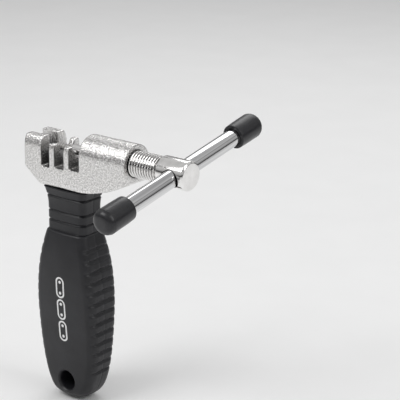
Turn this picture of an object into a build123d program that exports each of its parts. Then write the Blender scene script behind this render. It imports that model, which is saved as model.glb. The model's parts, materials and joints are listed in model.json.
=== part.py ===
"""Bicycle chain tool: a cast head on a moulded handle, with a drive screw turned by a sliding T-bar.

Frame, in millimetres: the origin is the middle of the chain cradle, where the first roller seat
meets the drive screw's axis. +X runs along the screw from the anvil towards the T-bar, +Y from the
front shell towards the rear shell, and +Z up, away from the handle.
"""
from build123d import *
from math import cos, pi, radians, sin
import os

# ---- Driving dimensions -------------------------------------------------------------------------
# Chain that the head holds: half-inch pitch, 1/8 in or 3/32 in wide.
CHAIN_PITCH = 12.7
ROLLER_RADIUS = 3.9
SEAT_GAP = 0.15              # room round the roller between the teeth
# Head casting, along X.
ANVIL_WIDTH = 10.3
ANVIL_TOP = 5.3
ANVIL_STEP = 5.9             # length of the wide part of the anvil's exit notch
EXIT_RADIUS = 2.6
EXIT_WIDE_RADIUS = 3.3
TOOTH_TOP = 2.9
TOOTH_WIDTH = 2.9
FLARE_TOP = (7.0, 6.0)       # half width and height to which the gap between teeth opens
SLOT_WIDTHS = (5.0, 6.0, 6.3)
SLOT_FLOORS = (-8.3, -7.8, -7.2)
BARREL_LENGTH = 26.4
CAST_BOTTOM = -17.4
LOWER_ROUNDING = 2.0         # on the casting's lower edges
HEEL_TOP = -9.8              # where the anvil's left face turns into the sloping heel
# Drive screw, M12 x 1.5.
THREAD_RADIUS = 6.0
THREAD_PITCH = 1.5
SHANK_RADIUS = 6.7
SCREW_TIP = 20.15            # end of the screw inside the barrel
SHANK_START = 58.9
SCREW_END = 73.65
END_CHAMFER = 1.0
BAR_AXIS_X = 66.65
COUNTERSINK_DEPTH = 1.4      # at each mouth of the cross hole
RUNNING_GAP = 0.05
BAR_GAP = 0.08               # round the T-bar in the screw's cross hole
PRESS_GAP = 0.02             # between pieces pressed together
# Push pin and its holder.
PIN_RADIUS = 1.5
PIN_TIP = -4.05
PIN_HEAD_RADIUS = 1.9
PIN_HEAD_LENGTH = 3.8
HOLDER_RADIUS = 2.35
HOLDER_TIP = 5.75
NOSE_ROUNDING = 0.7
SOCKET_DEPTH = 11.5          # depth of the holder's socket in the end of the screw
# T-bar, at the angle where it stands at rest.
BAR_RADIUS = 4.0
BAR_LENGTH = 103.6
BAR_SHIFT = 2.35             # how far the bar's middle stands towards the rear
BAR_TILT = 11.2              # degrees that the rear end is raised
CAP_RADIUS = 5.85
CAP_LENGTH = 16.4
CAP_END_WALL = 2.0
CAP_ROUNDING = 2.8
# Handle, split into a front and a rear shell at Y = 0.
HANDLE_X = 5.55              # the handle's centreline
NECK_BOTTOM = -38.0
WAIST_TOP = -27.0            # where the flare of the neck's flange ends
WAIST_HALF_WIDTH = 11.4
WAIST_HALF_DEPTH = 7.6
WAIST_CORNER = 3.2
FLANGE_FLARE = 1.3           # how far the flange stands out from the waist
NECK_GROOVES = (-28.8, -33.4)
GRIP_BOTTOM = -121.5
GRIP_HALF_WIDTH = 17.6       # widest, along X
GRIP_HALF_DEPTH = 11.2       # deepest, along Y
WIDEST_AT = -78.0
DEEPEST_AT = -58.0
ROUNDING_TOP = -104.0        # where the rounded bottom of the grip begins
CORNER_RADIUS = 4.5
SHELL_WALL = 3.0
HOLLOW = (-100.0, -44.0)     # from and to, inside the grip
WEB_HEIGHTS = (-60.0, -68.0, -84.5)
WEB_THICKNESS = 2.4
RIB_PITCH = 5.0
RIB_COUNT = 13
RIB_TOP = -45.0
RIB_DEPTH = 0.9
RIB_GROOVE_WIDTH = 1.6
HANG_HOLE_RADIUS = 4.5
HANG_HOLE_Z = -111.8
# Tang, the flat tail of the casting inside the handle.
TANG_WIDTH = 13.0
TANG_THICKNESS = 6.0
TANG_BOTTOM = -86.0
PEG_RADIUS = 2.5
PEG_HEIGHTS = (-52.0, -76.0)
PEG_TIP = 5.0
BOSS_WALL = 2.0
FIT_GAP = 0.1
BEYOND = 20.0                # reaches past the tool's thickness on every side

# ---- Dimensions worked out from them ------------------------------------------------------------
BODY_RADIUS = CHAIN_PITCH - ROLLER_RADIUS  # barrel and plate just clear the rollers on either side
TOOTH_1 = -TOOTH_WIDTH / 2
TOOTH_2 = TOOTH_1 + TOOTH_WIDTH + SLOT_WIDTHS[1]
ANVIL_RIGHT = TOOTH_1 - SLOT_WIDTHS[0]
ANVIL_LEFT = ANVIL_RIGHT - ANVIL_WIDTH
BARREL_LEFT = TOOTH_2 + TOOTH_WIDTH + SLOT_WIDTHS[2]
BARREL_RIGHT = BARREL_LEFT + BARREL_LENGTH
THREAD_DEPTH = 0.6134 * THREAD_PITCH
SOCKET_BOTTOM = SCREW_TIP + SOCKET_DEPTH
BAR_DIRECTION = Vector(0, cos(radians(BAR_TILT)), sin(radians(BAR_TILT)))


def rod(radius, start, end):
    """A cylinder along X from start to end."""
    return Pos((start + end) / 2, 0, 0) * Rot(0, 90, 0) * Cylinder(radius, end - start)


def block(x, y, z):
    """A box from its (low, high) pair along each axis."""
    centre = Pos((x[0] + x[1]) / 2, (y[0] + y[1]) / 2, (z[0] + z[1]) / 2)
    return centre * Box(x[1] - x[0], y[1] - y[0], z[1] - z[0])


def across(radius, x, z, length):
    """A cylinder along Y, centred on Y = 0."""
    return Pos(x, 0, z) * Rot(90, 0, 0) * Cylinder(radius, length)


# ---- Head casting -------------------------------------------------------------------------------
def cast_outline():
    """Front outline of the casting: anvil step, sloping heel, and a belly that rises to the barrel."""
    heel = (ANVIL_RIGHT - 0.4, CAST_BOTTOM)
    belly_start = (HANDLE_X + 2, CAST_BOTTOM)
    belly_end = (BARREL_RIGHT, -BODY_RADIUS)
    top = BODY_RADIUS
    line = Polyline((BARREL_RIGHT, -BODY_RADIUS), (BARREL_RIGHT, top), (ANVIL_LEFT, top),
                    (ANVIL_LEFT, HEEL_TOP), heel, belly_start)
    belly = TangentArc(belly_start, belly_end, tangent=(1, 0))
    return make_face(Plane.XZ * (line + belly))


def cast_section():
    """Cross-section of the casting: a half round on top of a flat plate with rounded lower edges."""
    plate = Pos(0, CAST_BOTTOM / 2) * Rectangle(2 * BODY_RADIUS, -CAST_BOTTOM)
    lower = plate.vertices().sort_by(Axis.Y)[:2]
    return Plane.YZ * (Circle(BODY_RADIUS) + fillet(lower, LOWER_ROUNDING))


def chain_slot(start, width, floor):
    """A slot across the head that takes the side plates of the chain, with a rounded floor."""
    profile = Pos(start + width / 2, (floor + BEYOND) / 2) * Rectangle(width, BEYOND - floor)
    profile = fillet(profile.vertices().sort_by(Axis.Y)[:2], 1.0)
    return extrude(Plane.XZ * profile, BEYOND, both=True)


def roller_gap(start):
    """The cradle between a front and a rear tooth: a round seat for one roller, flared at the top."""
    seat_radius = ROLLER_RADIUS + SEAT_GAP
    wide, height = FLARE_TOP
    flare = Polyline((-seat_radius, 0), (seat_radius, 0), (wide, height), (wide, BEYOND),
                     (-wide, BEYOND), (-wide, height), close=True)
    profile = Plane.YZ * (Circle(seat_radius) + make_face(flare))
    return Pos(start, 0, 0) * extrude(profile, TOOTH_WIDTH)


def above_teeth():
    """Everything over the teeth, which stand only a little above the screw's axis."""
    return block((ANVIL_RIGHT, BARREL_LEFT), (-BEYOND, BEYOND), (TOOTH_TOP, BEYOND))


def exit_notch(radius, start, end):
    """The notch in the anvil that the chain's rivet comes out of: round below and open on top."""
    return rod(radius, start, end) + block((start, end), (-radius, radius), (0, BEYOND))


def tang():
    """The flat tail that the handle shells close on, with a hole for each peg."""
    tail = block((-TANG_WIDTH / 2, TANG_WIDTH / 2), (-TANG_THICKNESS / 2, TANG_THICKNESS / 2),
                 (TANG_BOTTOM, CAST_BOTTOM + 3))
    for height in PEG_HEIGHTS:
        tail -= across(PEG_RADIUS + FIT_GAP, 0, height, TANG_THICKNESS + 2)
    return Pos(HANDLE_X, 0, 0) * tail


def head_casting():
    body = extrude(cast_outline(), BEYOND, both=True)
    body &= extrude(cast_section(), 2 * BARREL_RIGHT, both=True)
    body -= block((ANVIL_LEFT - 1, ANVIL_RIGHT), (-BEYOND, BEYOND), (ANVIL_TOP, BEYOND))
    body -= above_teeth()
    body -= roller_gap(TOOTH_1) + roller_gap(TOOTH_2)
    slot_starts = (ANVIL_RIGHT, TOOTH_1 + TOOTH_WIDTH, TOOTH_2 + TOOTH_WIDTH)
    for start, width, floor in zip(slot_starts, SLOT_WIDTHS, SLOT_FLOORS):
        body -= chain_slot(start, width, floor)
    body -= exit_notch(EXIT_RADIUS, ANVIL_LEFT - 1, ANVIL_RIGHT + 1)
    body -= exit_notch(EXIT_WIDE_RADIUS, ANVIL_LEFT - 1, ANVIL_LEFT + ANVIL_STEP)
    body -= rod(THREAD_RADIUS + RUNNING_GAP, BARREL_LEFT - 1, BARREL_RIGHT + 1)
    return body + tang()


# ---- Drive screw, pin holder and push pin ---------------------------------------------------------
def thread_profile():
    """Half section of the screw, with the thread as V grooves one pitch apart."""
    root = THREAD_RADIUS - THREAD_DEPTH
    crest = THREAD_PITCH / 8
    turns = int((SHANK_START - SCREW_TIP - 2) / THREAD_PITCH)
    points = [(SCREW_TIP, 0), (SCREW_TIP, root)]
    for turn in range(turns):
        start = SCREW_TIP + 0.8 + turn * THREAD_PITCH
        points += [(start, THREAD_RADIUS), (start + crest, THREAD_RADIUS),
                   (start + crest + (THREAD_PITCH - crest) / 2, root)]
    runout = SCREW_TIP + 0.8 + turns * THREAD_PITCH
    chamfer_radius = SHANK_RADIUS - END_CHAMFER
    points += [(runout, THREAD_RADIUS), (SHANK_START - 0.4, THREAD_RADIUS), (SHANK_START, SHANK_RADIUS),
               (SCREW_END - END_CHAMFER, SHANK_RADIUS), (SCREW_END, chamfer_radius), (SCREW_END, 0)]
    return make_face(Plane.XZ * Polyline(*points, close=True))


def bar_axis_plane(shift):
    """Plane across the T-bar, at a distance from the screw's axis towards the bar's rear end."""
    return Plane(origin=Vector(BAR_AXIS_X, 0, 0) + BAR_DIRECTION * shift, z_dir=BAR_DIRECTION)


def drive_screw():
    screw = revolve(thread_profile(), Axis.X)
    screw -= rod(HOLDER_RADIUS + PRESS_GAP, SCREW_TIP - 1, SOCKET_BOTTOM)
    hole_radius = BAR_RADIUS + BAR_GAP
    screw -= extrude(bar_axis_plane(0) * Circle(hole_radius), 2 * SHANK_RADIUS, both=True)
    for side in (-1, 1):
        bottom = bar_axis_plane(side * (SHANK_RADIUS - COUNTERSINK_DEPTH)) * Circle(hole_radius)
        mouth = bar_axis_plane(side * (SHANK_RADIUS + 0.4)) * Circle(hole_radius + 1.0)
        screw -= loft([bottom, mouth])
    return screw


def pin_holder():
    """The round nose pressed into the end of the screw, which keeps the push pin captive."""
    holder = rod(HOLDER_RADIUS, HOLDER_TIP, SOCKET_BOTTOM - PRESS_GAP)
    nose = holder.edges().sort_by(Axis.X)[0]
    holder = fillet(nose, NOSE_ROUNDING)
    holder -= rod(PIN_RADIUS + RUNNING_GAP, HOLDER_TIP - 1, SOCKET_BOTTOM)
    head_room = PIN_HEAD_LENGTH + 4 * RUNNING_GAP
    holder -= rod(PIN_HEAD_RADIUS + RUNNING_GAP, SOCKET_BOTTOM - head_room, SOCKET_BOTTOM)
    return holder


def push_pin():
    """The hardened pin that drives the chain rivet, with a head inside the holder."""
    end = SOCKET_BOTTOM - 2 * RUNNING_GAP
    shaft = rod(PIN_RADIUS, PIN_TIP, end - 1)
    shaft = chamfer(shaft.edges().sort_by(Axis.X)[0], 0.25)
    return shaft + rod(PIN_HEAD_RADIUS, end - PIN_HEAD_LENGTH, end)


# ---- T-bar and its end caps -----------------------------------------------------------------------
def t_bar():
    bar = extrude(bar_axis_plane(BAR_SHIFT) * Circle(BAR_RADIUS), BAR_LENGTH / 2, both=True)
    ends = [bar.edges().sort_by(Axis.Y)[0], bar.edges().sort_by(Axis.Y)[-1]]
    return chamfer(ends, 0.5)


def end_cap(side):
    """A dipped vinyl cap on one end of the bar; side is -1 for the front and 1 for the rear."""
    bar_end = side * BAR_LENGTH / 2 + BAR_SHIFT
    outer = bar_end + side * CAP_END_WALL
    rim = outer - side * CAP_LENGTH
    facing_out = Plane(origin=bar_axis_plane(rim).origin, z_dir=BAR_DIRECTION * side)
    cup = extrude(facing_out * Circle(CAP_RADIUS), CAP_LENGTH)
    tip = cup.edges().sort_by(Axis.Y)[0 if side < 0 else -1]
    cup = fillet(tip, CAP_ROUNDING)
    return cup - extrude(facing_out * Circle(BAR_RADIUS + PRESS_GAP), CAP_LENGTH - CAP_END_WALL + PRESS_GAP)


# ---- Handle, drawn round its own centreline and moved to HANDLE_X in main() -----------------------
def grip_half_width(z):
    """Half width along X: a swelling below the neck, closing in a rounded bottom."""
    if z > WIDEST_AT:
        rise = (z - WIDEST_AT) / (NECK_BOTTOM - WIDEST_AT)
        return GRIP_HALF_WIDTH - 5.7 * rise**2
    fall = (z - WIDEST_AT) / (GRIP_BOTTOM - WIDEST_AT)
    return GRIP_HALF_WIDTH * (1 - fall**2.8) ** (1 / 2.8)


def grip_half_depth(z):
    """Half depth along Y: thick behind the palm, thinner and flat towards the hang hole."""
    if z > DEEPEST_AT:
        rise = (z - DEEPEST_AT) / (NECK_BOTTOM - DEEPEST_AT)
        return GRIP_HALF_DEPTH - 2.2 * rise**2
    flat_at = HANG_HOLE_Z
    fall = min((DEEPEST_AT - z) / (DEEPEST_AT - flat_at), 1)
    depth = GRIP_HALF_DEPTH - 2.9 * (1 - cos(pi * fall)) / 2
    end = max((GRIP_BOTTOM + 6 - z) / 6, 0)
    return depth * (1 - end**2.5) ** (1 / 2.5)


def section(half_width, half_depth, z, corner=CORNER_RADIUS):
    """A rounded rectangle at one height."""
    corner = min(corner, half_width * 0.8, half_depth * 0.8)
    return Pos(0, 0, z) * RectangleRounded(2 * half_width, 2 * half_depth, corner)


def grip(inset=0.0):
    """The grip below the neck; inset moves its whole surface inwards."""
    lowest = GRIP_BOTTOM + 0.35
    heights = [NECK_BOTTOM + (ROUNDING_TOP - NECK_BOTTOM) * step / 9 for step in range(9)]
    heights += [ROUNDING_TOP + (lowest - ROUNDING_TOP) * sin(pi / 2 * step / 6) for step in range(7)]
    return loft([section(grip_half_width(z) - inset, grip_half_depth(z) - inset, z) for z in heights])


def neck_section(z, inset=0.0):
    """Outline of the neck: a flange under the casting, flowing into a straight waist."""
    rise = max((z - WAIST_TOP) / (CAST_BOTTOM - WAIST_TOP), 0)
    swell = FLANGE_FLARE * rise**2 - inset
    return section(WAIST_HALF_WIDTH + swell, WAIST_HALF_DEPTH + swell, z, WAIST_CORNER)


def neck():
    """The waisted collar between the casting and the grip, with a flange on top and two grooves."""
    count = 9
    sections = []
    for step in range(count):
        z = CAST_BOTTOM + (NECK_BOTTOM - 1 - CAST_BOTTOM) * step / (count - 1)
        sections.append(neck_section(z))
    collar = loft(sections)
    for height in NECK_GROOVES:
        ring = section(15, 15, height) - neck_section(height, inset=0.5)
        collar -= extrude(ring, 0.45, both=True)
    return collar


def rib_grooves():
    """Horizontal grooves down both narrow sides of the grip, which leave ribs between them."""
    grooves = []
    for number in range(RIB_COUNT):
        z = RIB_TOP - number * RIB_PITCH
        floor = grip_half_width(z) - RIB_DEPTH
        for side in (-1, 1):
            reach = sorted((side * floor, side * BEYOND))
            span = (z - RIB_GROOVE_WIDTH / 2, z + RIB_GROOVE_WIDTH / 2)
            grooves.append(block(reach, (-BEYOND, BEYOND), span))
    return grooves


def inner_webs():
    """Horizontal webs left across the hollow, which hold the tang."""
    half = WEB_THICKNESS / 2
    return [block((-BEYOND, BEYOND), (-BEYOND, BEYOND), (z - half, z + half)) for z in WEB_HEIGHTS]


def whole_handle():
    """The handle before it is split: grip and neck, less the ribs' grooves, hollow, tang and hole."""
    handle = grip() + neck()
    for groove in rib_grooves():
        handle -= groove
    hollow = grip(SHELL_WALL) & block((-BEYOND, BEYOND), (-BEYOND, BEYOND), HOLLOW)
    for web in inner_webs():
        hollow -= web
    handle -= hollow
    half_width = TANG_WIDTH / 2 + FIT_GAP
    half_depth = TANG_THICKNESS / 2 + FIT_GAP
    handle -= block((-half_width, half_width), (-half_depth, half_depth),
                    (TANG_BOTTOM - FIT_GAP, CAST_BOTTOM + 1))
    return handle - across(HANG_HOLE_RADIUS, 0, HANG_HOLE_Z, 2 * BEYOND)


def crossways(radius, start, end, z):
    """A cylinder along Y from start to end, on the handle's centreline."""
    return Pos(0, (start + end) / 2, z) * Rot(90, 0, 0) * Cylinder(radius, end - start)


def handle_front_shell(handle):
    """The -Y half, with the pegs that pass through the tang."""
    shell = handle & block((-BEYOND, BEYOND), (-BEYOND, 0), (GRIP_BOTTOM, CAST_BOTTOM))
    for height in PEG_HEIGHTS:
        inside_face = 1 - grip_half_depth(height)
        shell += crossways(PEG_RADIUS, inside_face, PEG_TIP, height)
    return shell


def handle_rear_shell(handle):
    """The +Y half, with a hollow boss that receives each peg."""
    shell = handle & block((-BEYOND, BEYOND), (0, BEYOND), (GRIP_BOTTOM, CAST_BOTTOM))
    for height in PEG_HEIGHTS:
        start = TANG_THICKNESS / 2 + FIT_GAP
        shell += crossways(PEG_RADIUS + BOSS_WALL, start, grip_half_depth(height) - 1, height)
        shell -= crossways(PEG_RADIUS + FIT_GAP, 0, PEG_TIP + 1, height)
    return shell


def main():
    os.makedirs("parts", exist_ok=True)
    handle = whole_handle()
    parts = {
        "head_casting": head_casting(),
        "handle_front_shell": Pos(HANDLE_X, 0, 0) * handle_front_shell(handle),
        "handle_rear_shell": Pos(HANDLE_X, 0, 0) * handle_rear_shell(handle),
        "drive_screw": drive_screw(),
        "pin_holder": pin_holder(),
        "push_pin": push_pin(),
        "t_bar": t_bar(),
        "cap_front": end_cap(-1),
        "cap_rear": end_cap(1),
    }
    for name, solid in parts.items():
        export_step(solid, f"parts/{name}.step")


main()
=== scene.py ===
"""Looks of the bicycle chain tool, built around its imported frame. Lengths are in millimetres unless they
say otherwise; MM turns them into metres."""
import json
from math import atan2, cos, hypot, pi, radians, sin

import bmesh
import bpy
from mathutils import Matrix, Vector


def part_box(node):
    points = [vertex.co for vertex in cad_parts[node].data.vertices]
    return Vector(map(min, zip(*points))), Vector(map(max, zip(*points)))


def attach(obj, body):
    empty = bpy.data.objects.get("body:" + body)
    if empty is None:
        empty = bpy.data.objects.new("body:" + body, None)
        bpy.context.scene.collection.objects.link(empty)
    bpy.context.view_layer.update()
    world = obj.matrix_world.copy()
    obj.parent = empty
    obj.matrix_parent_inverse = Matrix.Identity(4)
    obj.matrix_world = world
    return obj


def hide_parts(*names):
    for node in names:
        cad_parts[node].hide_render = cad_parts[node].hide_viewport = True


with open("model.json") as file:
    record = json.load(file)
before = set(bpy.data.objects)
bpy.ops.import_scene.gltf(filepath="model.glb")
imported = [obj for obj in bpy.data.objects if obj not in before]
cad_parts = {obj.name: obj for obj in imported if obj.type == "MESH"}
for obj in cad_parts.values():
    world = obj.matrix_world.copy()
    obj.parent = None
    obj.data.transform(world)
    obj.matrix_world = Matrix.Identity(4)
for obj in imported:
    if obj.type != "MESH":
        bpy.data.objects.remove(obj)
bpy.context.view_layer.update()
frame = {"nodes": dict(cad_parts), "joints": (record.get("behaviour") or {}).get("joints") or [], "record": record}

MM = 0.001
X_AXIS = Vector((1, 0, 0))
Y_AXIS = Vector((0, 1, 0))
AROUND = 96                  # facets round a turned piece

# Casting.
CASTING_VOXEL = 0.3
# Screw: M12 x 1.5 thread, and the smooth head with its cross hole.
THREAD_PITCH = 1.5
THREAD_DEPTH = 0.92
HALF_CREST = 0.12            # of a half pitch
FLANK = 0.70                 # of a half pitch
ROWS_PER_PITCH = 16
THREAD_OVERLAP = 0.5         # how far the thread reaches into the smooth head
HEAD_CHAMFER = 0.9
HOLE_GAP = 0.22              # round the T-bar in the cross hole
COUNTERSINK_DEPTH = 1.4
COUNTERSINK_FLARE = 0.9
# Push pin and its holder.
PIN_RADIUS = 1.5
PIN_GAP = 0.06
PIN_END = 5.1                # how far short of the holder's end the visible pin stops
NOSE_ROUNDING = 0.8
# Bar and caps.
BAR_ROUNDING = 0.5
CAP_END_WALL = 2.0
CAP_ROUNDING = 3.9
CAP_GRIP_GAP = 0.03          # between cap and bar
# Slot for the casting's tang, inside the handle.
TANG_HALF_WIDTH = 6.6
TANG_HALF_THICKNESS = 3.1
TANG_END_GAP = 0.2
# Neck of the handle, measured down from its top.
WAIST_TOP = 9.6
WAIST_HALF_WIDTH = 11.35
WAIST_HALF_DEPTH = 7.55
FLANGE_FLARE = 1.35
NECK_LENGTH = 20.6
NECK_GROOVES = (4.2, 11.4, 16.0)
GROOVE_DEPTH = 0.6
GROOVE_HALF_WIDTH = 0.6
NECK_CORNER = 3.2
# Grip.
GRIP_HALF_WIDTH = 17.6
GRIP_HALF_DEPTH = 11.2
TOP_NARROWING = 5.7          # how much less the half width is under the neck
TOP_THINNING = 2.2
END_THINNING = 2.9
WIDEST_AT = -78.0
DEEPEST_AT = -58.0
END_ROUNDING = 7.0
GRIP_CORNER = 4.5
FACE_CROWN = 0.7
LEDGE_ROUNDING = 0.9
PARTING_GROOVE = 0.16
# Ribs on the narrow sides.
RIB_TOP = -45.0
RIB_PITCH = 5.0
RIB_COUNT = 13
RIB_DEPTH = 0.9
RIB_HALF_WIDTH = 1.3
# Printed chain links on the front face.
LINK_PITCH = 11.0
LINK_COUNT = 3
LINK_MIDDLE = -75.0
LINK_HALF_LENGTH = 2.7
LINK_RADIUS = 2.1
# Camera: where it stands round the tool, in degrees, and what it aims at, in metres.
CAMERA_AZIMUTH = 37.917
CAMERA_ELEVATION = 17.964
CAMERA_ROLL = 0.303
CAMERA_AIM = Vector((0.05334, 0.03220, -0.02274))
CAMERA_DISTANCE = 0.6860
SENSOR_WIDTH = 36.0
LENS = 135.75
# Soft lights: name, azimuth, elevation, distance and size in metres, power.
LIGHTS = (
    ("key", -25, 50, 0.9, (0.5, 0.5), 3.2),
    ("side", 95, 35, 0.9, (0.35, 0.6), 1.6),
    ("back", 200, 45, 1.0, (0.7, 0.4), 2.2),
)
LIGHT_TARGET = Vector((0.02, 0, -0.04))
# Brightness of the surroundings from straight below (0) to straight above (1), seen only in reflections.
SURROUNDINGS = (
    (0.0, 0.55), (0.38, 0.30), (0.47, 0.04), (0.53, 0.05), (0.60, 0.65),
    (0.72, 0.90), (0.76, 0.30), (0.80, 0.95), (1.0, 0.80),
)
SURROUNDINGS_STRENGTH = 0.62


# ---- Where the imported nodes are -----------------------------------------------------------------
def box_mm(node):
    """Lowest and highest corner of a CAD node."""
    low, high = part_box(node)
    return low / MM, high / MM


def reach(node, axis):
    """How far a CAD node reaches along an axis through the frame's origin, lowest first."""
    along = [vertex.co.dot(axis) / MM for vertex in frame["nodes"][node].data.vertices]
    return min(along), max(along)


def joint_axis(name):
    return Vector(next(joint for joint in frame["joints"] if joint["name"] == name)["axis"])


screw_low, screw_high = box_mm("drive_screw")
holder_low, holder_high = box_mm("pin_holder")
pin_tip = box_mm("push_pin")[0].x
bar_low, bar_high = box_mm("t_bar")
cap_low, cap_high = box_mm("cap_front")
tang_low = box_mm("head_casting")[0].z
shell_low = box_mm("handle_front_shell")[0]
shell_high = box_mm("handle_rear_shell")[1]

bar_axis = joint_axis("bar_slide")
bar_tilt = atan2(bar_axis.z, bar_axis.y)
bar_middle = (bar_low + bar_high) / 2
bar_radius = (bar_high.x - bar_low.x) / 2
cap_radius = (cap_high.x - cap_low.x) / 2
head_radius = screw_high.z
handle_x = (shell_low.x + shell_high.x) / 2
handle_top = shell_high.z
handle_bottom = shell_low.z
neck_bottom = handle_top - NECK_LENGTH
hang_hole = next(mount for mount in frame["record"]["mounts"] if mount["name"] == "hang_hole")


# ---- Mesh helpers -------------------------------------------------------------------------------
def new_object(name, mesh):
    obj = bpy.data.objects.new(name, mesh)
    bpy.context.scene.collection.objects.link(obj)
    return obj


def to_mesh(name, bm):
    mesh = bpy.data.meshes.new(name)
    bm.to_mesh(mesh)
    bm.free()
    return mesh


def mesh_from_rows(name, rows):
    """A closed tube through rings of points, one ring per row, with a fan at each end."""
    bm = bmesh.new()
    rings = [[bm.verts.new(Vector(point) * MM) for point in row] for row in rows]
    count = len(rows[0])
    for lower, upper in zip(rings, rings[1:]):
        for i in range(count):
            j = (i + 1) % count
            bm.faces.new((lower[i], lower[j], upper[j], upper[i]))
    for ring in (rings[0], rings[-1]):
        middle = bm.verts.new(sum((vertex.co for vertex in ring), Vector()) / count)
        for i in range(count):
            bm.faces.new((middle, ring[i], ring[(i + 1) % count]))
    bmesh.ops.remove_doubles(bm, verts=bm.verts, dist=1e-7)
    bmesh.ops.recalc_face_normals(bm, faces=bm.faces)
    return to_mesh(name, bm)


def smooth(obj, angle=35.0):
    """Smooth shading that keeps edges sharper than angle, in degrees."""
    obj.data.polygons.foreach_set("use_smooth", [True] * len(obj.data.polygons))
    obj.data.set_sharp_from_angle(angle=radians(angle))
    return obj


def turned(name, profile, origin=Vector(), axis=X_AXIS, around=AROUND):
    """A turned solid: profile is a list of (distance along the axis, radius)."""
    turn = Vector((0, 0, 1)).rotation_difference(axis).to_matrix()
    rows = []
    for along, radius in profile:
        ring = []
        for i in range(around):
            angle = 2 * pi * i / around
            ring.append(origin + turn @ Vector((radius * cos(angle), radius * sin(angle), along)))
        rows.append(ring)
    return new_object(name, mesh_from_rows(name, rows))


def rounded(corners, steps=6):
    """A profile with its corners rounded: each corner is (along, radius, rounding)."""
    points = []
    for i, (along, radius, rounding) in enumerate(corners):
        here = Vector((along, radius))
        if rounding <= 0 or i in (0, len(corners) - 1):
            points.append((along, radius))
            continue
        before = Vector(corners[i - 1][:2]) - here
        after = Vector(corners[i + 1][:2]) - here
        start = here + before.normalized() * rounding
        end = here + after.normalized() * rounding
        for step in range(steps + 1):
            t = step / steps
            point = start * (1 - t) ** 2 + here * 2 * t * (1 - t) + end * t**2
            points.append((point.x, point.y))
    return points


def apply_modifiers(obj):
    """Bakes the object's modifiers into its mesh."""
    baked = bpy.data.meshes.new_from_object(obj.evaluated_get(bpy.context.evaluated_depsgraph_get()))
    obj.modifiers.clear()
    obj.data = baked
    return obj


def cut(obj, cutter, operation="DIFFERENCE"):
    """Boolean with a helper object, which is then removed."""
    boolean = obj.modifiers.new("cut", "BOOLEAN")
    boolean.operation = operation
    boolean.object = cutter
    boolean.solver = "EXACT"
    apply_modifiers(obj)
    bpy.data.objects.remove(cutter)
    return obj


def cutter_box(low, high):
    """A box used only to cut with."""
    bm = bmesh.new()
    bmesh.ops.create_cube(bm, size=1.0)
    size = Vector(high) - Vector(low)
    bm.transform(Matrix.Translation((Vector(low) + size / 2) * MM) @ Matrix.Diagonal((*(size * MM), 1)))
    return new_object("cutter", to_mesh("cutter", bm))


def place(obj, body, material, node):
    """Hands a finished piece to the frame: body, material slot and the CAD node it stands for."""
    obj.data.materials.clear()
    obj.data.materials.append(material)
    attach(obj, body)
    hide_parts(node)
    return obj


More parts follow.
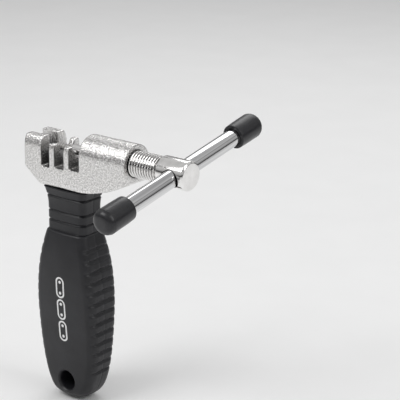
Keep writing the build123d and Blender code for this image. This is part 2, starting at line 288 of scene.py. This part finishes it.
# ---- Materials ----------------------------------------------------------------------------------
class Nodes:
    """Short names for building one material's nodes."""

    def __init__(self, name):
        self.material = bpy.data.materials.new(name)
        self.material.use_nodes = True
        self.tree = self.material.node_tree
        self.shader = self.tree.nodes["Principled BSDF"]
        self.coordinates = self.add("ShaderNodeTexCoord").outputs["Object"]

    def add(self, kind, **values):
        node = self.tree.nodes.new(kind)
        for key, value in values.items():
            setattr(node, key, value)
        return node

    def link(self, source, target):
        self.tree.links.new(source, target)

    def feed(self, value, socket):
        """Links a source to a socket, or sets a number or a colour on it."""
        if isinstance(value, bpy.types.NodeSocket):
            self.link(value, socket)
        elif isinstance(value, tuple):
            socket.default_value = (*value, 1)
        else:
            socket.default_value = value

    def set(self, **values):
        for key, value in values.items():
            self.shader.inputs[key.replace("_", " ")].default_value = value

    def noise(self, size, detail=4.0, roughness=0.5, stretch=(1, 1, 1), tilt=0.0):
        """Noise whose main feature is size across, lengthened by stretch along axes tilted about X."""
        mapping = self.add("ShaderNodeMapping", vector_type="TEXTURE")
        mapping.inputs["Scale"].default_value = stretch
        mapping.inputs["Rotation"].default_value = (tilt, 0, 0)
        self.link(self.coordinates, mapping.inputs["Vector"])
        noise = self.add("ShaderNodeTexNoise")
        noise.inputs["Scale"].default_value = 1 / (size * MM)
        noise.inputs["Detail"].default_value = detail
        noise.inputs["Roughness"].default_value = roughness
        self.link(mapping.outputs["Vector"], noise.inputs["Vector"])
        return noise.outputs["Fac"]

    def remap(self, source, low, high, from_low=0.3, from_high=0.7):
        node = self.add("ShaderNodeMapRange")
        node.inputs["From Min"].default_value = from_low
        node.inputs["From Max"].default_value = from_high
        node.inputs["To Min"].default_value = low
        node.inputs["To Max"].default_value = high
        self.link(source, node.inputs["Value"])
        return node.outputs["Result"]

    def blend(self, factor, first, second, kind="MIX"):
        """Two colours, or sources of colour, mixed by factor."""
        mix = self.add("ShaderNodeMix", data_type="RGBA", blend_type=kind)
        self.feed(factor, mix.inputs[0])
        self.feed(first, mix.inputs[6])
        self.feed(second, mix.inputs[7])
        return mix.outputs[2]

    def paint(self, colour):
        self.link(colour, self.shader.inputs["Base Color"])

    def painted_shade(self, colour, distance, darkest, closed=0.15):
        """Painted shade: the colour darkened where other surfaces stand within distance, down to darkest where
        no more than the closed share of the view is open."""
        corner = self.add("ShaderNodeAmbientOcclusion", samples=6)
        corner.inputs["Distance"].default_value = distance * MM
        shade = self.remap(corner.outputs["AO"], darkest, 1.0, closed, 0.75)
        grey = self.add("ShaderNodeCombineXYZ")
        for socket in grey.inputs:
            self.link(shade, socket)
        return self.blend(1.0, colour, grey.outputs[0], "MULTIPLY")

    def math(self, operation, first, second=None):
        node = self.add("ShaderNodeMath", operation=operation)
        self.feed(first, node.inputs[0])
        if second is not None:
            self.feed(second, node.inputs[1])
        return node.outputs[0]

    def bump(self, *layers):
        """Stacked bumps: each layer is (source, strength, height)."""
        normal = None
        for source, strength, height in layers:
            bump = self.add("ShaderNodeBump")
            bump.inputs["Strength"].default_value = strength
            bump.inputs["Distance"].default_value = height * MM
            self.link(source, bump.inputs["Height"])
            if normal is not None:
                self.link(normal, bump.inputs["Normal"])
            normal = bump.outputs["Normal"]
        self.link(normal, self.shader.inputs["Normal"])


def casting_material():
    """Satin nickel plate over a cast and tumbled surface, with a coarse sparkle."""
    m = Nodes("satin_nickel_casting")
    m.set(Metallic=1.0)
    grain = m.noise(0.8, detail=3.0, roughness=0.6)
    clouds = m.noise(6.0, detail=3.0)
    colour = m.blend(m.remap(grain, 0, 1, 0.38, 0.62), (0.58, 0.57, 0.56), (0.98, 0.97, 0.96))
    # Painted shade: the casting's colour darkened in its slots and other hollows.
    m.paint(m.painted_shade(colour, 8.0, 0.07, closed=0.32))
    m.link(m.remap(clouds, 0.18, 0.28), m.shader.inputs["Roughness"])
    m.bump((clouds, 0.25, 0.20), (grain, 0.95, 0.26))
    return m.material


def turned_steel_material():
    """Bright nickel on a turned screw: fine rings round the X axis, and painted shade in the thread grooves."""
    m = Nodes("turned_nickel_screw")
    m.set(Metallic=1.0)
    rings = m.noise(0.35, detail=3.0, stretch=(1, 60, 60))
    patches = m.noise(4.0, detail=3.0)
    colour = m.blend(m.remap(patches, 0, 1), (0.80, 0.79, 0.78), (0.93, 0.92, 0.91))
    # Painted shade: the colour darkened in the thread grooves and where the screw meets other parts.
    m.paint(m.painted_shade(colour, 1.6, 0.05, closed=0.30))
    m.link(m.remap(rings, 0.07, 0.15), m.shader.inputs["Roughness"])
    m.bump((rings, 0.10, 0.02))
    return m.material


def pin_material():
    """Hardened and ground pin, a little darker than the plated parts."""
    m = Nodes("hardened_pin_steel")
    m.set(Metallic=1.0)
    rings = m.noise(0.25, detail=2.0, stretch=(1, 40, 40))
    m.paint(m.blend(m.remap(rings, 0, 1), (0.42, 0.41, 0.40), (0.62, 0.61, 0.59)))
    m.link(m.remap(rings, 0.20, 0.34), m.shader.inputs["Roughness"])
    m.bump((rings, 0.2, 0.02))
    return m.material


def chrome_material():
    """Polished chrome with draw marks and faint rubbing along the bar."""
    m = Nodes("polished_chrome_bar")
    m.set(Metallic=1.0)
    rubs = m.noise(0.6, detail=4.0, stretch=(1, 60, 1), tilt=bar_tilt)
    waves = m.noise(2.2, detail=2.0, stretch=(1, 30, 1), tilt=bar_tilt)
    colour = m.blend(m.remap(waves, 0, 1), (0.52, 0.52, 0.53), (0.84, 0.84, 0.84))
    # Painted shade: the bar's colour darkened where it runs into the screw head and the caps.
    m.paint(m.painted_shade(colour, 2.5, 0.25))
    m.link(m.remap(rubs, 0.05, 0.13), m.shader.inputs["Roughness"])
    m.bump((waves, 0.22, 0.10), (rubs, 0.08, 0.01))
    return m.material


def vinyl_material():
    """Glossy dipped vinyl, slightly uneven as it cured."""
    m = Nodes("dipped_vinyl_cap")
    uneven = m.noise(4.0, detail=2.0)
    specks = m.noise(0.5, detail=4.0)
    m.paint(m.blend(m.remap(specks, 0, 1), (0.009, 0.009, 0.011), (0.020, 0.020, 0.023)))
    m.link(m.remap(specks, 0.30, 0.44), m.shader.inputs["Roughness"])
    m.set(Coat_Weight=0.25, Coat_Roughness=0.18, Specular_IOR_Level=0.35)
    m.bump((uneven, 0.30, 0.12), (specks, 0.14, 0.02))
    return m.material


def handle_material():
    """Charcoal plastic with a fine moulded texture, and a printed row of plain chain links."""
    m = Nodes("moulded_charcoal_plastic")
    texture = m.noise(0.45, detail=3.0, roughness=0.6)
    clouds = m.noise(9.0, detail=3.0)
    base = m.blend(m.remap(clouds, 0, 1), (0.010, 0.010, 0.012), (0.017, 0.017, 0.020))
    # Painted shade: the plastic darkened between the ribs, in the neck grooves and in the hang hole.
    base = m.painted_shade(base, 2.0, 0.35)
    m.paint(m.blend(link_print(m), base, (0.80, 0.80, 0.80)))
    m.set(Specular_IOR_Level=0.42)
    m.link(m.remap(texture, 0.34, 0.48), m.shader.inputs["Roughness"])
    m.bump((texture, 0.30, 0.05), (clouds, 0.08, 0.2))
    return m.material


def link_print(m):
    """Mask of a printed row of plain chain links on the front face of the handle."""
    split = m.add("ShaderNodeSeparateXYZ")
    m.link(m.coordinates, split.inputs[0])
    across = m.math("SUBTRACT", split.outputs["X"], handle_x * MM)
    along = m.math("SUBTRACT", split.outputs["Z"], LINK_MIDDLE * MM)
    inside = m.math("LESS_THAN", m.math("ABSOLUTE", along), LINK_PITCH * LINK_COUNT / 2 * MM)
    cell = m.math("WRAP", along, LINK_PITCH / 2 * MM)
    cell.node.inputs[2].default_value = -LINK_PITCH / 2 * MM
    from_rivet = m.math("SUBTRACT", m.math("ABSOLUTE", cell), LINK_HALF_LENGTH * MM)
    from_plate = m.math("MAXIMUM", from_rivet, 0.0)
    to_plate = m.math("ABSOLUTE", m.math("SUBTRACT", length_of(m, across, from_plate), LINK_RADIUS * MM))
    rim = m.math("LESS_THAN", to_plate, 0.2 * LINK_RADIUS * MM)
    rivet = m.math("LESS_THAN", length_of(m, across, from_rivet), 0.36 * LINK_RADIUS * MM)
    front = m.math("LESS_THAN", split.outputs["Y"], -GRIP_HALF_DEPTH / 3 * MM)
    drawn = m.math("MULTIPLY", m.math("MAXIMUM", rim, rivet), inside)
    return m.math("MULTIPLY", drawn, front)


def length_of(m, first, second):
    """Length of the vector with these two components."""
    squares = [m.math("MULTIPLY", part, part) for part in (first, second)]
    return m.math("SQRT", m.math("ADD", *squares))


# ---- Head, screw, pin, bar and caps ---------------------------------------------------------------
def head_casting(material):
    """The casting with its edges rounded, as a tumbled and plated part has them."""
    obj = new_object("casting", frame["nodes"]["head_casting"].data.copy())
    remesh = obj.modifiers.new("remesh", "REMESH")
    remesh.mode = "VOXEL"
    remesh.voxel_size = CASTING_VOXEL * MM
    soften = obj.modifiers.new("soften", "SMOOTH")
    soften.factor = 0.5
    soften.iterations = 4
    apply_modifiers(obj)
    smooth(obj, 60.0)
    return place(obj, "head", material, "head_casting")


def head_start():
    """Where the screw's smooth head begins: the widest stretch of the CAD screw."""
    widest = [vertex.co.x for vertex in frame["nodes"]["drive_screw"].data.vertices
              if hypot(vertex.co.y, vertex.co.z) > (head_radius - 0.1) * MM]
    return min(widest) / MM


def thread_depth(x, angle, start, end):
    """Depth of the right-hand V thread at a point, full depth within one pitch of each end."""
    phase = (x / THREAD_PITCH + angle / (2 * pi)) % 1.0
    from_crest = abs(phase - 0.5) * 2
    groove = min(max((from_crest - HALF_CREST) / FLANK, 0.0), 1.0)
    fade = min(max(min(x - start, end - x) / THREAD_PITCH, 0.0), 1.0)
    return THREAD_DEPTH * (1 - fade * (1 - groove))


def screw_crest():
    """Crest radius of the thread: the screw's radius beside its smooth head."""
    at_tip = [hypot(vertex.co.y, vertex.co.z) / MM for vertex in frame["nodes"]["drive_screw"].data.vertices
              if vertex.co.x / MM < screw_low.x + 3 * THREAD_PITCH]
    return max(at_tip)


def screw_thread(material):
    """The threaded part, from inside the barrel to the smooth head."""
    start, end = screw_low.x, head_start() + THREAD_OVERLAP
    crest = screw_crest()
    count = int((end - start) / THREAD_PITCH * ROWS_PER_PITCH)
    rows = []
    for row in range(count + 1):
        x = start + (end - start) * row / count
        ring = []
        for i in range(AROUND):
            angle = 2 * pi * i / AROUND
            radius = crest - thread_depth(x, angle, start, end)
            ring.append((x, radius * cos(angle), radius * sin(angle)))
        rows.append(ring)
    threaded = smooth(new_object("screw_thread", mesh_from_rows("screw_thread", rows)), 50.0)
    return place(threaded, "screw", material, "drive_screw")


def screw_head(material):
    """The smooth round head of the screw, drilled and countersunk for the T-bar."""
    start, end = head_start(), screw_high.x
    profile = rounded([(start, 0, 0), (start, head_radius, 0.5), (end - HEAD_CHAMFER, head_radius, 0.3),
                       (end, head_radius - HEAD_CHAMFER, 0.3), (end, 0, 0)])
    head = turned("screw_head", profile, around=160)
    hole = bar_radius + HOLE_GAP
    wide = hole + COUNTERSINK_FLARE
    mouth = head_radius + 0.3
    inner = mouth - COUNTERSINK_DEPTH
    flare = [(-mouth - 2, wide + 2, 0), (-mouth, wide, 0), (-inner, hole, 0.5),
             (inner, hole, 0.5), (mouth, wide, 0), (mouth + 2, wide + 2, 0)]
    cut(head, turned("drill", rounded(flare), origin=Vector((bar_middle.x, 0, 0)), axis=bar_axis))
    return place(smooth(head, 30.0), "screw", material, "drive_screw")


def nose_and_pin(steel, pin_steel):
    """The holder's round nose and the push pin that comes out of it."""
    nose_radius = (holder_high.z - holder_low.z) / 2
    nose = rounded([(holder_low.x, 0, 0), (holder_low.x, nose_radius, NOSE_ROUNDING),
                    (holder_high.x, nose_radius, 0.1), (holder_high.x, 0, 0)])
    holder = turned("pin_holder_nose", nose, around=64)
    bore = PIN_RADIUS + PIN_GAP
    pin_end = holder_high.x - PIN_END
    cut(holder, turned("drill", [(holder_low.x - 1, bore), (pin_end + 0.1, bore)], around=64))
    place(smooth(holder), "screw", steel, "pin_holder")
    tip = rounded([(pin_tip, 0, 0), (pin_tip, PIN_RADIUS, 0.3), (pin_end, PIN_RADIUS, 0.1),
                   (pin_end, 0, 0)])
    pin = smooth(turned("push_pin_shaft", tip, around=64))
    place(pin, "pin", pin_steel, "push_pin")


def bar(material):
    """The T-bar."""
    low, high = reach("t_bar", bar_axis)
    half = (high - low) / 2
    ends = rounded([(-half, 0, 0), (-half, bar_radius, BAR_ROUNDING),
                    (half, bar_radius, BAR_ROUNDING), (half, 0, 0)])
    rod = smooth(turned("bar_rod", ends, origin=bar_middle, axis=bar_axis))
    place(rod, "bar", material, "t_bar")


def cap(node, side, material):
    """A vinyl cap dipped over one end of the bar, a little fuller towards its domed end."""
    middle = bar_middle.dot(bar_axis)
    rim, outer = sorted(side * (edge - middle) for edge in reach(node, bar_axis))
    bore = bar_radius + CAP_GRIP_GAP
    skin = rounded([(rim + 3, bore, 0), (rim, bore, 0.25), (rim, cap_radius - 0.25, 0.45),
                    (rim + 4, cap_radius - 0.1, 1), (outer - 4, cap_radius, 1),
                    (outer, cap_radius - 0.1, CAP_ROUNDING), (outer + 0.02, 0, 0)], steps=12)
    floor_of_cup = [(outer - CAP_END_WALL, 0), (outer - CAP_END_WALL, bore)]
    cup = turned(f"{node}_vinyl", floor_of_cup + skin, origin=bar_middle, axis=bar_axis * side)
    place(smooth(cup, 50.0), "bar", material, node)


# ---- Handle -------------------------------------------------------------------------------------
def grip_half_width(z):
    if z > WIDEST_AT:
        return GRIP_HALF_WIDTH - TOP_NARROWING * ((z - WIDEST_AT) / (neck_bottom - WIDEST_AT)) ** 2
    fall = min((z - WIDEST_AT) / (handle_bottom - WIDEST_AT), 1)
    return GRIP_HALF_WIDTH * (1 - fall**2.8) ** (1 / 2.8)


def grip_half_depth(z):
    if z > DEEPEST_AT:
        return GRIP_HALF_DEPTH - TOP_THINNING * ((z - DEEPEST_AT) / (neck_bottom - DEEPEST_AT)) ** 2
    fall = min((DEEPEST_AT - z) / (DEEPEST_AT - hang_hole["pos_m"][2] / MM), 1)
    depth = GRIP_HALF_DEPTH - END_THINNING * (1 - cos(pi * fall)) / 2
    end = min(max((handle_bottom + 6 - z) / 6, 0), 1)
    return depth * (1 - end**2.5) ** (1 / 2.5)


def neck_swell(z):
    """How far the neck stands out from its waist: the flange above, and the moulded grooves."""
    rise = max((z - handle_top + WAIST_TOP) / WAIST_TOP, 0)
    swell = FLANGE_FLARE * rise**2
    for groove in NECK_GROOVES:
        distance = abs(z - handle_top + groove)
        if distance < GROOVE_HALF_WIDTH:
            swell -= GROOVE_DEPTH * (1 - (distance / GROOVE_HALF_WIDTH) ** 2)
    return swell


def rib_dip(z):
    """How far the ribbed sides sink at a height: one soft groove under each rib."""
    nearest = round((RIB_TOP - z) / RIB_PITCH)
    distance = abs(RIB_TOP - nearest * RIB_PITCH - z)
    if not 0 <= nearest < RIB_COUNT or distance >= RIB_HALF_WIDTH:
        return 0.0
    return RIB_DEPTH * (1 + cos(pi * distance / RIB_HALF_WIDTH)) / 2


def outline(half_width, half_depth, corner, dip):
    """One ring of the handle: crowned faces, rounded corners, and the ribs' dip on the narrow sides."""
    corner = min(corner, half_width * 0.7, half_depth * 0.7)
    crown = FACE_CROWN * min(half_depth / GRIP_HALF_DEPTH, 1)
    flat_x = half_width - corner
    flat_y = half_depth - crown - corner
    quarter = []
    side_steps, arc_steps, face_steps = 10, 12, 12
    for i in range(side_steps):
        y = flat_y * (i / side_steps) ** 0.7
        groove = PARTING_GROOVE * max(1 - y / 0.35, 0)
        quarter.append((half_width - dip - groove, y))
    for i in range(arc_steps):
        t = i / arc_steps
        angle = pi / 2 * t
        sink = dip * max(1 - t / 0.62, 0) ** 0.6
        quarter.append((flat_x + (corner - sink) * cos(angle), flat_y + (corner - sink * 0.4) * sin(angle)))
    for i in range(face_steps + 1):
        x = flat_x * (1 - i / face_steps)
        rise = crown * (1 - (x / flat_x) ** 2) if flat_x > 0 else 0
        quarter.append((x, flat_y + corner + rise))
    half = quarter + [(-x, y) for x, y in reversed(quarter[:-1])]
    return half + [(x, -y) for x, y in reversed(half[1:-1])]


def neck_rows():
    """Rings of the neck, from the flange's rounded rim down."""
    rows = []
    for inset, drop in ((0.5, 0.0), (0.15, 0.12), (0.0, 0.5)):
        z = handle_top - drop
        swell = neck_swell(handle_top) - inset
        rows.append((WAIST_HALF_WIDTH + swell, WAIST_HALF_DEPTH + swell, z, NECK_CORNER, 0.0))
    steps = 90
    for i in range(1, steps):
        z = handle_top - 0.5 + (neck_bottom - handle_top + 0.5) * i / steps
        swell = neck_swell(z)
        rows.append((WAIST_HALF_WIDTH + swell, WAIST_HALF_DEPTH + swell, z, NECK_CORNER, 0.0))
    return rows


def grip_rows():
    """Rings of the grip: the rounded ledge under the neck, the ribbed length, and the rounded bottom."""
    rows = []
    for i in range(9):
        angle = pi / 2 * i / 8
        z = neck_bottom - LEDGE_ROUNDING * (1 - cos(angle))
        inset = LEDGE_ROUNDING * (1 - sin(angle))
        rows.append((grip_half_width(z) - inset, grip_half_depth(z) - inset, z, GRIP_CORNER, 0.0))
    top, bottom = neck_bottom - LEDGE_ROUNDING, handle_bottom + END_ROUNDING
    steps = 260
    for i in range(1, steps):
        z = top + (bottom - top) * i / steps
        rows.append((grip_half_width(z), grip_half_depth(z), z, GRIP_CORNER, rib_dip(z)))
    steps = 24
    for i in range(steps):
        z = handle_bottom + END_ROUNDING * (1 - sin(pi / 2 * i / steps))
        rows.append((grip_half_width(z), grip_half_depth(z), z, GRIP_CORNER, 0.0))
    return rows


def handle(material):
    """The moulded handle, cut for the tang and the hang hole and split into its two shells."""
    rings = []
    for half_width, half_depth, z, corner, dip in neck_rows() + grip_rows():
        rings.append([(handle_x + x, y, z) for x, y in outline(half_width, half_depth, corner, dip)])
    whole = new_object("handle", mesh_from_rows("handle", rings))
    radius = hang_hole["dims"]["r_mm"]
    centre = Vector(hang_hole["pos_m"]) / MM
    mouth = grip_half_depth(centre.z)
    flare = [(-mouth - 3, radius + 4.2, 0), (-mouth + 0.1, radius + 0.9, 0.5), (-mouth + 1.0, radius, 0.8),
             (mouth - 1.0, radius, 0.8), (mouth - 0.1, radius + 0.9, 0.5), (mouth + 3, radius + 4.2, 0)]
    cut(whole, turned("drill", rounded(flare, 8), origin=centre, axis=Y_AXIS))
    cut(whole, cutter_box((handle_x - TANG_HALF_WIDTH, -TANG_HALF_THICKNESS, tang_low - TANG_END_GAP),
                          (handle_x + TANG_HALF_WIDTH, TANG_HALF_THICKNESS, handle_top + 1)))
    for name, node, front, rear in (("front_shell", "handle_front_shell", -30, 0),
                                    ("rear_shell", "handle_rear_shell", 0, 30)):
        shell = new_object(name, whole.data.copy())
        half = cutter_box((handle_x - 30, front, handle_bottom - 5), (handle_x + 30, rear, 0))
        cut(shell, half, "INTERSECT")
        place(smooth(shell, 40.0), "head", material, node)
    bpy.data.objects.remove(whole)


# ---- Studio -------------------------------------------------------------------------------------
def floor():
    """A plain pale floor under the handle."""
    bm = bmesh.new()
    bmesh.ops.create_grid(bm, x_segments=2, y_segments=2, size=3.0)
    obj = new_object("floor", to_mesh("floor", bm))
    obj.location.z = handle_bottom * MM - 0.0003
    m = Nodes("pale_floor")
    m.paint(m.blend(m.noise(40.0), (0.86, 0.86, 0.86), (0.90, 0.90, 0.90)))
    m.set(Roughness=0.9)
    obj.data.materials.append(m.material)


def from_angles(azimuth, elevation):
    """Direction from the tool towards a viewer; azimuth 0 is in front of it, in degrees."""
    a, e = radians(azimuth), radians(elevation)
    return Vector((sin(a) * cos(e), -cos(a) * cos(e), sin(e)))


def soft_light(name, azimuth, elevation, distance, size, power):
    """An area light that faces the head of the tool; distance and size are in metres."""
    light = bpy.data.lights.new(name, "AREA")
    light.shape = "RECTANGLE"
    light.size, light.size_y = size
    light.energy = power
    obj = bpy.data.objects.new(name, light)
    bpy.context.scene.collection.objects.link(obj)
    back = from_angles(azimuth, elevation)
    obj.location = LIGHT_TARGET + back * distance
    obj.rotation_euler = (-back).to_track_quat("-Z", "Y").to_euler()


def surroundings():
    """A white studio, with the darker bands that only the polished metal shows."""
    world = bpy.data.worlds.new("studio")
    bpy.context.scene.world = world
    world.use_nodes = True
    tree = world.node_tree
    background = tree.nodes["Background"]
    background.inputs["Strength"].default_value = SURROUNDINGS_STRENGTH
    white = tree.nodes.new("ShaderNodeBackground")
    white.inputs["Color"].default_value = (1, 1, 1, 1)
    coordinates = tree.nodes.new("ShaderNodeTexCoord")
    split = tree.nodes.new("ShaderNodeSeparateXYZ")
    to_unit = tree.nodes.new("ShaderNodeMapRange")
    to_unit.inputs["From Min"].default_value = -1.0
    ramp = tree.nodes.new("ShaderNodeValToRGB")
    stops = ramp.color_ramp.elements
    stops[0].position, stops[1].position = SURROUNDINGS[0][0], SURROUNDINGS[-1][0]
    stops[0].color = (SURROUNDINGS[0][1],) * 3 + (1,)
    stops[1].color = (SURROUNDINGS[-1][1],) * 3 + (1,)
    for position, level in SURROUNDINGS[1:-1]:
        stops.new(position).color = (level,) * 3 + (1,)
    path = tree.nodes.new("ShaderNodeLightPath")
    mix = tree.nodes.new("ShaderNodeMixShader")
    for source, target in ((coordinates.outputs["Generated"], split.inputs[0]),
                           (split.outputs["Z"], to_unit.inputs["Value"]),
                           (to_unit.outputs["Result"], ramp.inputs["Fac"]),
                           (ramp.outputs["Color"], background.inputs["Color"]),
                           (path.outputs["Is Camera Ray"], mix.inputs["Fac"]),
                           (background.outputs["Background"], mix.inputs[1]),
                           (white.outputs["Background"], mix.inputs[2]),
                           (mix.outputs["Shader"], tree.nodes["World Output"].inputs["Surface"])):
        tree.links.new(source, target)


def camera():
    """A long lens above the right front of the tool, aimed beside the head as in a catalogue picture."""
    back = from_angles(CAMERA_AZIMUTH, CAMERA_ELEVATION)
    data = bpy.data.cameras.new("camera")
    data.sensor_width = SENSOR_WIDTH
    data.lens = LENS
    data.clip_start = 0.01
    obj = bpy.data.objects.new("camera", data)
    bpy.context.scene.collection.objects.link(obj)
    obj.location = CAMERA_AIM + back * CAMERA_DISTANCE
    upright = (-back).to_track_quat("-Z", "Y").to_matrix()
    obj.rotation_euler = (upright @ Matrix.Rotation(radians(CAMERA_ROLL), 3, "Z")).to_euler()
    bpy.context.scene.camera = obj


def main():
    steel = turned_steel_material()
    vinyl = vinyl_material()
    head_casting(casting_material())
    screw_thread(steel)
    screw_head(steel)
    nose_and_pin(steel, pin_material())
    bar(chrome_material())
    cap("cap_front", -1, vinyl)
    cap("cap_rear", 1, vinyl)
    handle(handle_material())
    floor()
    surroundings()
    for light in LIGHTS:
        soft_light(*light)
    camera()
    bpy.context.scene.view_settings.view_transform = "Standard"


main()
